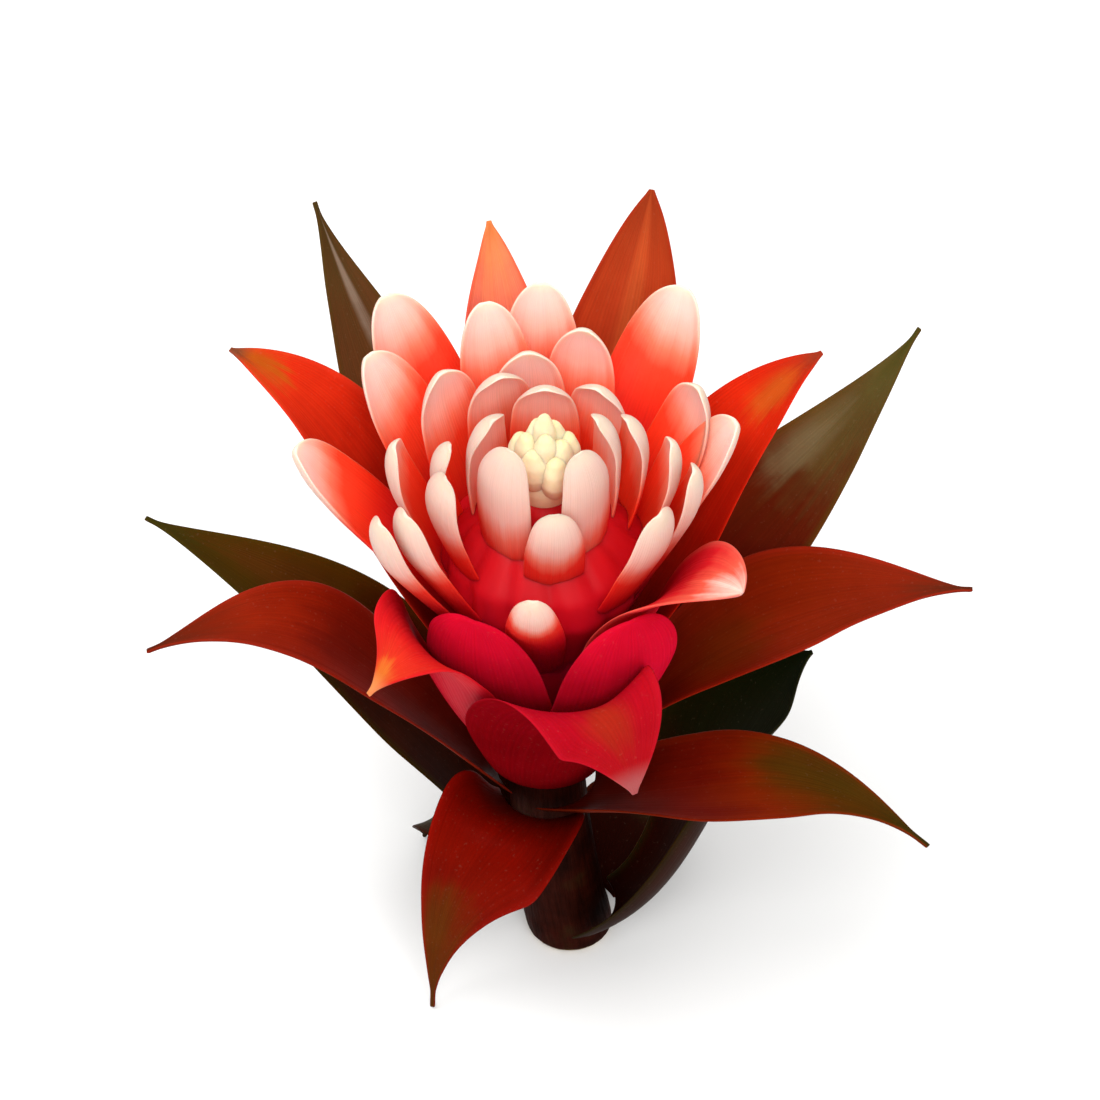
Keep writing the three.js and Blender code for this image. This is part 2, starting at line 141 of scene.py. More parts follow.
# Leaf bracts, from the lowest up.
LEAVES = [
    dict(rank=0, turn=20, root=4, reach=33, tip=0.1, rise=52, fall=-80, half=11, out=0.75,
         over=0.45, root_radius=9.8, neck=0.5),
    dict(rank=3, turn=-14, root=2, reach=34, tip=0.1, rise=42, fall=-80, half=12, out=0.8,
         over=0.45, root_radius=9.8, neck=0.4),
    dict(rank=5, turn=6, root=16, reach=82, tip=82, rise=66, fall=12, half=15, swing=2,
         out=0.45, over=0.4, root_radius=9.5),
    dict(rank=6, turn=-37, root=6, reach=55.5, tip=56, rise=47, fall=30, half=22.5, swing=46,
         veer=40, out=0.5, root_radius=9.8, widest=0.6, neck=0.48, belly=2.4, bend=(46, 38)),
    dict(rank=7, turn=17, root=40.5, reach=31, tip=0.1, rise=40, fall=-86, half=16, swing=-27,
         out=0.5, over=0.65, neck=0.69, widest=0.26, belly=1.1, bend=(40, 40)),
    dict(rank=8, turn=-16, root=42, reach=78, tip=106, rise=54, fall=55, half=13, swing=-4),
    dict(rank=9, turn=0, root=43.5, reach=76, tip=52, rise=34, fall=-14, half=14.2, swing=20,
         out=0.5, over=0.45, neck=0.78, widest=0.36, belly=1.5, point=1.45),
    dict(rank=10, turn=2, root=45.2, reach=74, tip=78, rise=50, fall=-26, half=12.5, swing=-4,
         out=0.65, over=0.5),
    dict(rank=11, turn=-8, root=47, reach=89, tip=110, rise=54, fall=50, half=16, belly=1.6,
         bend=(18, 30)),
    dict(rank=13, turn=-12, root=49.8, reach=88, tip=122, rise=58, fall=52, half=12.5,
         swing=2),
    dict(rank=14, turn=6, root=51.8, reach=80, tip=86, rise=55, fall=0, half=15.5, swing=7,
         out=0.48, over=0.45, neck=0.52, widest=0.52, belly=1.9, point=1.4),
]
# Red bracts, from the lowest up.
RED_BRACTS = [
    dict(rank=12, turn=-2, root=49.9, reach=48, tip=88, rise=54, fall=-65, half=17.5,
         swing=24, veer=30, out=0.85, over=0.6, neck=0.74, loose=1.25, bend=(33, 12)),
    dict(rank=15, turn=5, root=53.4, reach=45, tip=100, rise=57, fall=-42, half=15.5, swing=6,
         veer=-8, out=0.78, over=0.42, loose=1.15, neck=0.68, point=1.25, bend=(33, 15)),
    dict(rank=16, turn=0, root=54.8, reach=71, tip=132, rise=56, fall=58, half=13.5, swing=-4,
         point=0.8),
    dict(rank=17, turn=0, root=56.2, reach=30.2, tip=112.5, rise=60, fall=100, half=13.5,
         out=0.4, over=0.38, widest=0.6, neck=0.52, belly=3, point=0.5, bend=(38, 33)),
    dict(rank=18, turn=-7, root=57.6, reach=65, tip=126, rise=62, fall=10, half=12.5,
         swing=-3, out=0.45, bend=(24, 40)),
    dict(rank=19, turn=3, root=59, reach=58, tip=127, rise=61, fall=26, half=13, swing=1,
         out=0.42, bend=(24, 40)),
    dict(rank=20, turn=-5, root=60.6, reach=28.9, tip=112.5, rise=61, fall=98, half=13,
         swing=2, out=0.4, over=0.38, widest=0.6, neck=0.47, belly=3, point=0.5, bend=(36, 34)),
    dict(rank=21, turn=-7, root=62.3, reach=60, tip=132, rise=66, fall=60, half=11, swing=-3,
         bend=(38, 45)),
    dict(rank=22, turn=-13.6, root=63.6, reach=43, tip=118.5, rise=60, fall=12, half=13.5,
         swing=5, neck=0.56, over=0.38, widest=0.6, belly=2.4, point=0.65, bend=(30, 24)),
]
# White-tipped bracts: rank, turn, reach, tip height and half width.
WHITE_BRACTS = [
    (23, -19, 45, 126, 9.5), (24, 2, 51, 129, 10), (25, -14, 29.5, 120.5, 5.8),
    (26, -17, 51, 129, 10), (27, 10, 36, 127, 8.5), (28, -19, 33, 126, 8), (29, 1, 44, 130, 9),
    (30, 12, 25, 127, 8), (31, -33, 41, 129, 9), (32, -5, 33, 128, 8.4),
    (34, -16, 39, 131, 8.4), (35, 8, 27, 127, 7.8), (36, 5, 29, 128, 8), (37, 7, 32, 130, 7.8),
    (38, -15, 13.5, 126, 6), (39, -21, 27, 130, 8.4), (40, -13, 23, 129, 7.2),
    (41, -10, 9.6, 136, 6.8), (42, -5, 24, 131, 8), (43, -12, 9, 134.5, 6.4),
    (44, -10, 27, 129, 7.6), (45, 6, 17, 131, 7.4), (47, -20, 19, 131, 7.4),
    (48, 23, 16, 131, 6.6), (49, -17, 19, 129, 7.4), (50, 7, 13, 132, 7),
    (52, 13, 17, 130, 5.6), (53, -8, 10.2, 133, 6), (60, 2, 11, 131, 7.2),
]

# The roots of the red bracts: they sit closer to the axis with each rank.
FIRST_RED_RANK = 12
RED_ROOT_RADIUS = 9.6
RED_ROOT_STEP = 0.12

# White-tipped bracts: one that reaches less springs from higher up and rises steeper.
CROWN_REACH = 50
CROWN_ROOT = 62
CROWN_ROOT_GAIN = 44
CROWN_RISE = 66
CROWN_RISE_GAIN = 16
ROOT_DEPTH = 2.5
# How steeply the tip ends, in degrees, for a reach over each.
TIP_FALLS = [(35, 44), (20, 80), (0, 104)]

# How far the white reaches down a white-tipped bract, in millimetres: less on the outer faces, at
# the front and along the margins, more at the heart.
INNER_ZONE = 17
OUTER_ZONE = 15
FRONT_LOSS = 5.5
FRONT_REACH = 30
HEART_GAIN = 6
HEART_REACH = 15
ZONE_ARCH = 4
ZONE_SKEW = 4

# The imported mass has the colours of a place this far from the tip, in millimetres and in zones.
CORE_DEPTH = 50
PACKED_BLUSH = 2.2

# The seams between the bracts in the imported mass.
SEAMS_ROUND = 13
SEAM_SLANT = 0.09
SEAM_DEPTH = 1.4
PACKED_RADIUS = 19.2

# How much slimmer the core and the dome are than the solids'.
CORE_SHARE = 0.98

# The gap round the buds and their low lobes.
BUD_GAP = 0.1
BUD_LOBES = 3
LOBE_HEIGHT = 0.05
LOBE_TWIST = 0.35

# The fibres of the stem: how deep they are, as a share of its radius, how many stand round it, and
# how long they are in millimetres.
FIBRE_HEIGHT = 0.012
FIBRES_ROUND = 6
FIBRE_LENGTH = 9

# How finely each shape is divided: rows and columns of a blade, sides and steps of a turned shape.
LEAF_GRID = (40, 14)
RED_GRID = (36, 14)
WHITE_GRID = (28, 10)
CORE_SIDES = 48
CORE_STEP = 3
SIDES_PER_SEAM = 8
PACKING_STEP = 2
DOME_SIDES = 32
DOME_STEP = 1
BUD_SIDES = 24
BUD_STEP = 0.8
STEM_SIDES = 72
STEM_STEP = 1.5
MIDRIB_STEPS = 24
WELD = 1e-6


# The shape of a bract

def smooth(x):
    x = min(1, max(0, x))
    return x * x * (3 - 2 * x)


def mix(a, b, share):
    return a + (b - a) * share


def axis_at(height):
    """How far the axis has bowed sideways at a height."""
    below = max(0, 1 - height / BOW_HEIGHT)
    return HEAD_OFFSET * (below * below - 1)


def around(centre, azimuth, radius, height):
    a = math.radians(azimuth)
    return Vector((centre + radius * math.cos(a), radius * math.sin(a), height))


def heading(azimuth, slope):
    a, s = math.radians(azimuth), math.radians(slope)
    return Vector((math.cos(a) * math.cos(s), math.sin(a) * math.cos(s), math.sin(s)))


def radius_on(profile, height):
    """The radius of a profile of (radius, height) pairs at a height."""
    for (low_radius, low), (high_radius, high) in zip(profile, profile[1:]):
        if low <= height < high:
            return mix(low_radius, high_radius, (height - low) / (high - low))
    return 0


def azimuth_of(rank, turn):
    return FIRST_AZIMUTH - GOLDEN_TURN * rank + turn


def leaf_form(row):
    return dict(LEAF_FORM, azimuth=azimuth_of(row["rank"], row["turn"])) | row


def red_form(row):
    root_radius = RED_ROOT_RADIUS - RED_ROOT_STEP * (row["rank"] - FIRST_RED_RANK)
    azimuth = azimuth_of(row["rank"], row["turn"])
    return dict(RED_FORM, azimuth=azimuth, root_radius=root_radius) | row


def white_form(rank, turn, reach, tip, half):
    inner = 1 - min(reach, CROWN_REACH) / CROWN_REACH
    root = CROWN_ROOT + CROWN_ROOT_GAIN * inner
    fall = next(slope for least, slope in TIP_FALLS if reach > least)
    return dict(
        WHITE_FORM, rank=rank, azimuth=azimuth_of(rank, turn), half=half, root=root,
        reach=reach + WHITE_FORM["incurve"] * math.sin(math.radians(fall)),
        tip=tip - WHITE_FORM["incurve"] * math.cos(math.radians(fall)),
        root_radius=radius_on(CORE_PROFILE, root) - ROOT_DEPTH,
        rise=CROWN_RISE + CROWN_RISE_GAIN * inner, fall=fall,
    )


def midrib_of(form):
    """The four points of the midrib's curve."""
    azimuth = form["azimuth"]
    root = around(axis_at(form["root"]), azimuth, form["root_radius"], form["root"])
    tip = around(-HEAD_OFFSET, azimuth + form["swing"], form["reach"], form["tip"])
    length = (tip - root).length
    leave = heading(azimuth, form["rise"]) * form["out"] * length
    arrive = heading(azimuth + form["veer"], form["fall"]) * form["over"] * length
    return root, root + leave, tip - arrive, tip


def on_midrib(points, t):
    """The midrib's place and direction at a share of its length."""
    a, b, c, d = points
    s = 1 - t
    place = a * s**3 + b * 3 * s * s * t + c * 3 * s * t * t + d * t**3
    along = (b - a) * s * s + (c - b) * 2 * s * t + (d - c) * t * t
    return place, along.normalized()


def midrib_length(midrib):
    places = [on_midrib(midrib, k / MIDRIB_STEPS)[0] for k in range(MIDRIB_STEPS + 1)]
    return sum((b - a).length for a, b in zip(places, places[1:]))


def taper(form, t):
    """Half the width along a blade, as a share of its widest."""
    widest = form["widest"]
    if t < widest:
        return mix(form["neck"], 1, smooth(t / widest))
    x = (t - widest) / (1 - widest)
    return max(0, 1 - x ** form["belly"]) ** form["point"]


def bend_of(form, t):
    """Half the arc that the cross-section bends through."""
    root = form["half"] * form["neck"] / (form["root_radius"] * form["loose"])
    blade, tip = (math.radians(x) for x in form["bend"])
    if t < BLADE_START:
        return mix(root, blade, smooth(t / BLADE_START))
    return mix(blade, tip, smooth((t - BLADE_START) / (1 - BLADE_START)))


def ripple_of(form, t, across):
    """How far the free part of a blade waves to and fro, most at its margins."""
    free = smooth((t - RIPPLE_START) / RIPPLE_RUN_IN)
    free *= 1 - smooth((t - RIPPLE_END) / RIPPLE_RUN_OUT)
    margin = math.copysign(MARGINS_APART, across)
    wave = noise.noise(Vector((form["rank"] * BRACTS_APART, margin, t * RIPPLES_ALONG)))
    return form["wave"] * free * across * across * wave * RIPPLE_GAIN


def on_blade(form, midrib, t, across):
    """A place on the blade's middle surface, the direction inward there and half its thickness."""
    place, along = on_midrib(midrib, t)
    a = math.radians(form["azimuth"] + form["veer"] * t)
    side = Vector((-math.sin(a), math.cos(a), 0))
    side = (side - along * side.dot(along)).normalized()
    inward = along.cross(side)
    level = Vector((0, 0, 1)).cross(side)
    hollow = level.lerp(inward, smooth(t / SHEATH_END)).normalized()
    half = max(form["half"] * taper(form, t), form["tip_half"])
    radius = max(half / bend_of(form, t), TIGHTEST_BEND * form["thick"])
    angle = across * half / radius
    curl = max(0, (t - CURL_START) / (1 - CURL_START))
    place = place + inward * form["incurve"] * curl * curl
    place += side * radius * math.sin(angle) + hollow * radius * (1 - math.cos(angle))
    normal = inward * math.cos(angle) - side * math.sin(angle)
    place += normal * ripple_of(form, t, across)
    thickness = mix(form["thick"], form["rim"], across**4)
    thickness += form["plump"] * smooth((t - HOOD_START) / HOOD_RUN) * (1 - across * across)
    return place, normal, thickness / 2


# Meshes

def start_mesh():
    """An empty mesh with the layers that the finishes read."""
    mesh = bmesh.new()
    layers = {
        "blade": mesh.loops.layers.uv.new("blade"),
        "from_tip": mesh.verts.layers.float.new("from_tip"),
        "outer": mesh.verts.layers.float.new("outer"),
        "blush": mesh.verts.layers.float.new("blush"),
    }
    return mesh, layers


def blush_of(form, across, from_tip, outer):
    """How far a place is from the tip in shares of the white zone. The zone is shorter on the
    outer faces, most of all at the front, longer round the buds, and reaches further down the
    margin that faces front."""
    azimuth = math.radians(form["azimuth"])
    facing = max(0, -math.sin(azimuth)) ** 3
    loss = FRONT_LOSS * facing * form["reach"] / FRONT_REACH
    zone = OUTER_ZONE - loss if outer else INNER_ZONE
    zone += HEART_GAIN * (form["reach"] < HEART_REACH)
    lean = ZONE_SKEW * across * math.cos(azimuth)
    return (from_tip + ZONE_ARCH * across * across + lean) / zone


def place_of(point):
    """A place in the scene, in metres, held within the solids' own box."""
    place = (point + CUT_FACE) * MM
    return Vector(min(max(c, low), high) for c, low, high in zip(place, *cad_box))


def unmoved(point):
    return point


def add_blade(mesh, layers, form, grid_size, keep_clear=unmoved):
    """A closed blade from a flat grid: the grid is bent to the inner face, its copy is moved to the
    outer face, and the rim joins them."""
    rows, columns = grid_size
    midrib = midrib_of(form)
    grid = bmesh.ops.create_grid(mesh, x_segments=columns, y_segments=rows, size=1)["verts"]
    faces = list({face for vert in grid for face in vert.link_faces})
    span = midrib_length(midrib)
    copied = bmesh.ops.extrude_face_region(mesh, geom=faces, use_keep_orig=True)["geom"]
    outer = {item for item in copied if isinstance(item, bmesh.types.BMVert)}
    flat = {
        vert: (vert.co.x, 1 - ((1 - vert.co.y) / 2) ** TIP_CROWDING) for vert in (*grid, *outer)
    }
    for vert, (across, t) in flat.items():
        place, normal, half = on_blade(form, midrib, t, across)
        from_tip = (1 - t) * span
        vert.co = place + normal * (-half if vert in outer else half)
        vert.co = place_of(keep_clear(vert.co))
        vert[layers["from_tip"]] = from_tip
        vert[layers["outer"]] = float(vert in outer)
        vert[layers["blush"]] = blush_of(form, across, from_tip, vert in outer)
    closed = list({face for vert in flat for face in vert.link_faces})
    for face in closed:
        for loop in face.loops:
            across, t = flat[loop.vert]
            loop[layers["blade"]].uv = ((across + 1) / 2, t)
    bmesh.ops.recalc_face_normals(mesh, faces=closed)


def add_turned(mesh, layers, profile, sides, shape):
    """A closed turned shape from a flat grid: its rows follow the profile, shape places each point,
    and the seam and both poles are merged."""
    rows = len(profile) - 1
    grid = bmesh.ops.create_grid(mesh, x_segments=sides, y_segments=rows, size=1)["verts"]
    flat = {vert: ((vert.co.x + 1) / 2, (vert.co.y + 1) / 2) for vert in grid}
    for face in {face for vert in grid for face in vert.link_faces}:
        for loop in face.loops:
            loop[layers["blade"]].uv = flat[loop.vert]
    for vert, (turn, share) in flat.items():
        radius, height = profile[round(share * rows)]
        vert.co = place_of(shape(turn * 2 * math.pi, radius, height))
    bmesh.ops.remove_doubles(mesh, verts=grid, dist=WELD)
    closed = list({face for vert in grid if vert.is_valid for face in vert.link_faces})
    bmesh.ops.recalc_face_normals(mesh, faces=closed)


def spaced(profile, step):
    """The same profile with points no further apart than step."""
    dense = [profile[0]]
    for (r0, z0), (r1, z1) in zip(profile, profile[1:]):
        count = max(1, math.ceil(math.hypot(r1 - r0, z1 - z0) / step))
        dense += [(mix(r0, r1, k / count), mix(z0, z1, k / count)) for k in range(1, count + 1)]
    return dense


def make_piece(name, mesh, finish, slot, *nodes):
    """Turns a finished bmesh into a smooth piece that rides on the row's one body."""
    data = bpy.data.meshes.new(name)
    mesh.to_mesh(data)
    mesh.free()
    data.shade_smooth()
    piece = bpy.data.objects.new(name, data)
    bpy.context.scene.collection.objects.link(piece)
    rounding = piece.modifiers.new("rounding", "SUBSURF")
    rounding.levels = rounding.render_levels = 1
    data.materials.append(finish)
    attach(piece, "root")
    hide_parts(*nodes)


# Finishes

# How far light spreads under the skin of a bract, in metres.
LIGHT_REACH = 0.0035

# Veins and softer bands of colour run along a blade: how many lie side by side, how strong the
# even rows of veins are, how often the bands change along it, and the noise values that give the
# darkest and the lightest vein.
VEIN_ROWS = 30
VEIN_SHARE = 0.1
VEIN_GRAIN = 46
BAND_GRAIN = 9
BAND_LENGTH = 1.6
VEIN_RANGE = (0.1, 1.0)

# How fine the clouds and specks of colour are, as noise scales, and the noise values that give the
# darkest and the lightest cloud.
BRACT_CLOUD = 95
CROWN_CLOUD = 120
BUD_CLOUD = 420
STEM_CLOUD = 160
SPECKS = 1500
PITH = 900
CLOUD_RANGE = (0.3, 0.7)

# A bract's skin, each as a share unless it says otherwise: how far the colours wander along it and
# lag at its margins, a patch's soft edge, how strong the colours of the margin and the outer face
# are, the darkness, the clouds, the pale specks, the dry point in millimetres, and its surface.
CLOUD_WANDER = 0.16
MARGIN_LAG = 0.05
PATCH_EDGE = (0.25, 1.25)
MARGIN_BAND = (0.8, 1.0)
MARGIN_SHARE = 0.6
BACK_SHARE = 0.45
BRACT_TONE = 0.62
BRACT_VEINS = 0.1
BRACT_CLOUD_RANGE = (0.25, 0.75)
BRACT_CLOUD_TONES = (0.9, 1.08)
SPECK_BAND = (0.66, 0.76)
SPECK_SHARE = 0.03
SPECK_COLOUR = (190, 160, 135)
DRY_END = (1.0, 5.5)
DRY_SHARE = 0.8
BRACT_ROUGHNESS = (0.5, 0.36)
BRACT_CLOUD_RELIEF = 0.6
BRACT_LIGHT = 0.08
BRACT_GLOSS = 0.01

# The crown's skin: how far its colours wander, the crimson low down between two heights in metres,
# the cream caps in millimetres, the darkness of the inner and outer faces, with the inner faces
# kept lighter as painted light for the light that fills the hoods, and its surface.
CROWN_SEED = 4.0
BLUSH_WANDER = 0.24
LOW_HEIGHTS = (0.088, 0.116)
LOW_SHARE = 0.9
LOW_BLUSH = (1.1, 1.7)
LOW_COLOUR = (222, 6, 48)
CAP_END = (0.6, 3.2)
CAP_SHARE = 0.5
CAP_COLOUR = (240, 226, 198)
CROWN_VEIN_TONES = (0.94, 1.05)
INNER_TONE = 0.94
OUTER_TONE = 0.64
CROWN_ROUGHNESS = (0.42, 0.52)
CROWN_CLOUD_RELIEF = 0.5

# The skins of the buds and the stem: colours, fibres across and along, surface, and the pithy cut
# face, which ends between two heights in metres.
BUD_TONES = [
    (0, (240, 140, 104)), (0.35, (250, 212, 172)), (0.75, (252, 232, 190)), (1, (246, 228, 172)),
]
BUD_CLOUD_TONES = (0.76, 0.84)
BUD_ROUGHNESS = (0.4, 0.5)
BUD_FIBRES = 30
STEM_SEED = 2.0
STEM_FIBRES = 60
STEM_FIBRE_LENGTH = 6
# The stem's own dark maroon, deepened to near black: painted shade for the shadow under the head.
STEM_AND_SHADE_TONES = [(0.3, (22, 4, 1)), (0.6, (42, 9, 3)), (0.8, (40, 26, 9))]
STEM_FIBRE_TONES = (0.7, 1.15)
STEM_ROUGHNESS = (0.7, 0.5)
CUT_END = (0.0002, 0.0011)
PITH_TONES = [(0.35, (120, 88, 52)), (0.65, (196, 172, 122))]


def colour(red, green, blue):
    """A screen colour, 0 to 255 a channel, as the linear one that a shader takes."""
    linear = [
        c / 12.92 if c <= 0.04045 else ((c + 0.055) / 1.055) ** 2.4
        for c in (red / 255, green / 255, blue / 255)
    ]
    return (*linear, 1)


class Finish:
    """A material, and short ways to add the nodes that it is made of."""

    def __init__(self, name):
        self.material = bpy.data.materials.new(name)
        self.material.use_nodes = True
        self.nodes = self.material.node_tree.nodes
        self.links = self.material.node_tree.links
        self.skin = self.nodes["Principled BSDF"]

    def put(self, socket, value):
        if isinstance(value, bpy.types.NodeSocket):
            self.links.new(value, socket)
        else:
            socket.default_value = value

    def sum(self, operation, *values):
        node = self.nodes.new("ShaderNodeMath")
        node.operation = operation
        for socket, value in zip(node.inputs, values):
            self.put(socket, value)
        return node.outputs[0]

    def times(self, first, second):
        return self.sum("MULTIPLY", first, second)

    def between(self, value, low, high, to_low=0.0, to_high=1.0):
        """A smooth step from to_low to to_high as value goes from low to high."""
        node = self.nodes.new("ShaderNodeMapRange")
        node.interpolation_type = "SMOOTHSTEP"
        for socket, number in zip(node.inputs, (value, low, high, to_low, to_high)):
            self.put(socket, number)
        return node.outputs[0]

    def blend(self, share, first, second, kind="MIX"):
        node = self.nodes.new("ShaderNodeMix")
        node.data_type = "RGBA"
        node.blend_type = kind
        self.put(node.inputs[0], share)
        self.put(node.inputs[6], first)
        self.put(node.inputs[7], second)
        return node.outputs[2]

    def shaded(self, tone, shade):
        """The colour made lighter or darker by a number."""
        return self.blend(1.0, tone, self.vector(shade, shade, shade), "MULTIPLY")

    def ramp(self, share, stops):
        node = self.nodes.new("ShaderNodeValToRGB")
        elements = node.color_ramp.elements
        while len(elements) < len(stops):
            elements.new(0.5)
        for element, (place, shade) in zip(elements, stops):
            element.position = place
            element.color = colour(*shade)
        self.put(node.inputs[0], share)
        return node.outputs[0]

    def vector(self, x, y, z):
        node = self.nodes.new("ShaderNodeCombineXYZ")
        for socket, value in zip(node.inputs, (x, y, z)):
            self.put(socket, value)
        return node.outputs[0]

    def grain(self, place, scale, detail=2.0, roughness=0.5):
        node = self.nodes.new("ShaderNodeTexNoise")
        self.put(node.inputs["Vector"], place)
        self.put(node.inputs["Scale"], scale)
        self.put(node.inputs["Detail"], detail)
        self.put(node.inputs["Roughness"], roughness)
        return node.outputs["Fac"]

    def own_place(self):
        return self.nodes.new("ShaderNodeTexCoord").outputs["Object"]

    def own_height(self, place):
        parts = self.nodes.new("ShaderNodeSeparateXYZ")
        self.links.new(place, parts.inputs[0])
        return parts.outputs[2]

    def own(self, attribute):
        node = self.nodes.new("ShaderNodeAttribute")
        node.attribute_name = attribute
        return node.outputs["Fac"]

    def on_blade(self):
        """Across the blade, from 0 to 1, and along it."""
        flat = self.nodes.new("ShaderNodeUVMap")
        flat.uv_map = "blade"
        parts = self.nodes.new("ShaderNodeSeparateXYZ")
        self.links.new(flat.outputs[0], parts.inputs[0])
        return parts.outputs[0], parts.outputs[1]

    def paint(self, tone, roughness):
        self.put(self.skin.inputs["Base Color"], tone)
        self.put(self.skin.inputs["Roughness"], roughness)

    def relief(self, height, depth, strength):
        node = self.nodes.new("ShaderNodeBump")
        node.inputs["Distance"].default_value = depth
        node.inputs["Strength"].default_value = strength
        self.links.new(height, node.inputs["Height"])
        self.links.new(node.outputs[0], self.skin.inputs["Normal"])

    def wax(self, gloss, light, glow):
        """The waxy skin: constants on the shader's own sockets. Light is how much of it goes in,
        and glow is how far each colour spreads."""
        self.skin.inputs["Specular IOR Level"].default_value = gloss
        self.skin.inputs["Subsurface Weight"].default_value = light
        self.skin.inputs["Subsurface Radius"].default_value = glow
        self.skin.inputs["Subsurface Scale"].default_value = LIGHT_REACH


def veined(finish, across, along, seed):
    """The fine veins that run side by side and meet at the point, and the softer bands of
    colour."""
    lines = finish.vector(finish.times(across, VEIN_GRAIN), along, seed)
    fine = finish.grain(lines, 1.0, detail=1.0)
    stripes = finish.vector(
        finish.times(across, BAND_GRAIN), finish.times(along, BAND_LENGTH), seed
    )
    bands = finish.grain(stripes, 1.0, detail=3.0)
    rows = finish.sum("SINE", finish.times(across, 2 * math.pi * VEIN_ROWS))
    vein = finish.sum("ADD", finish.times(rows, VEIN_SHARE), fine)
    return vein, bands


def add_patch(finish, tone, across, along, patch):
    """The colour with a soft oval patch of another one on it."""
    middle, height, wide, long, shade, strength = patch
    dx = finish.sum("DIVIDE", finish.sum("SUBTRACT", across, middle), wide)
    dy = finish.sum("DIVIDE", finish.sum("SUBTRACT", along, height), long)
    far = finish.sum("SQRT", finish.sum("ADD", finish.times(dx, dx), finish.times(dy, dy)))
    return finish.blend(finish.between(far, *PATCH_EDGE, strength, 0.0), tone, colour(*shade))


def bract_finish(name, seed, look):
    """A leaf or red bract: its colours along it, soft patches, two of them painted highlights,
    margins, veins and a dry point.
    """
    finish = Finish(name)
    across, along = finish.on_blade()
    place = finish.own_place()
    edge = finish.sum("ABSOLUTE", finish.sum("MULTIPLY_ADD", across, 2.0, -1.0))
    vein, bands = veined(finish, across, along, seed)
    cloud = finish.grain(place, BRACT_CLOUD, detail=4.0, roughness=0.55)
    mottle = finish.sum("ADD", cloud, bands)
    wander = finish.sum("MULTIPLY_ADD", mottle, CLOUD_WANDER, -CLOUD_WANDER)
    shifted = finish.sum("ADD", along, wander)
    lagged = finish.sum("SUBTRACT", shifted, finish.times(edge, MARGIN_LAG))
    tone = finish.ramp(lagged, look["along"])
    for patch in look.get("patches", []):
        tone = add_patch(finish, tone, across, shifted, patch)
    ripe = finish.times(finish.between(edge, *MARGIN_BAND), MARGIN_SHARE)
    tone = finish.blend(ripe, tone, colour(*look["margin"]))
    back = finish.times(finish.own("outer"), look.get("back_share", BACK_SHARE))
    tone = finish.blend(back, tone, colour(*look["back"]))
    veins = look.get("veins", BRACT_VEINS)
    shade = finish.between(vein, *VEIN_RANGE, 1 - veins, 1 + veins)
    shade = finish.times(shade, finish.between(cloud, *BRACT_CLOUD_RANGE, *BRACT_CLOUD_TONES))
    shade = finish.times(shade, look.get("tone", BRACT_TONE))
    tone = finish.shaded(tone, shade)
    specks = finish.grain(place, SPECKS, detail=1.0)
    specks = finish.between(specks, *SPECK_BAND, 0.0, SPECK_SHARE)
    tone = finish.blend(specks, tone, colour(*SPECK_COLOUR))
    if "dry" in look:
        dry = finish.between(finish.own("from_tip"), *DRY_END, DRY_SHARE, 0.0)
        tone = finish.blend(dry, tone, colour(*look["dry"]))
    finish.paint(tone, finish.between(vein, *VEIN_RANGE, *BRACT_ROUGHNESS))
    height = finish.sum("ADD", vein, finish.times(cloud, BRACT_CLOUD_RELIEF))
    finish.relief(height, depth=0.0001, strength=0.5)
    gloss = look.get("gloss", BRACT_GLOSS)
    finish.wax(gloss, look.get("light", BRACT_LIGHT), glow=(1.0, 0.22, 0.12))
    return finish.material


# The colours of each bract

# along: colours from root to point, with the dark roots painted shade. patches: middle across,
# place along, half width and half length as shares, colour, strength; two of them are painted
# highlights. margin,
# back and dry: colours of the rim, the outer face and the point. back_share, veins, tone, light and
# gloss: how strong the outer face's colour and the veins are, how bright the bract is, how much
# light goes in, and its shine.

# Painted shade: a near-black root colour for the shade under the head.
SHADED_NIGHT = (40, 6, 2)
# Painted shade: a dark red-brown for the shaded roots and low parts.
SHADED_DEEP = (92, 14, 6)
DARK_OLIVE = (58, 48, 8)
# Painted shade: the dark wine red at the roots of the red bracts, for the shade under the head.
SHADED_WINE = (130, 4, 14)
CRIMSON = (214, 16, 46)

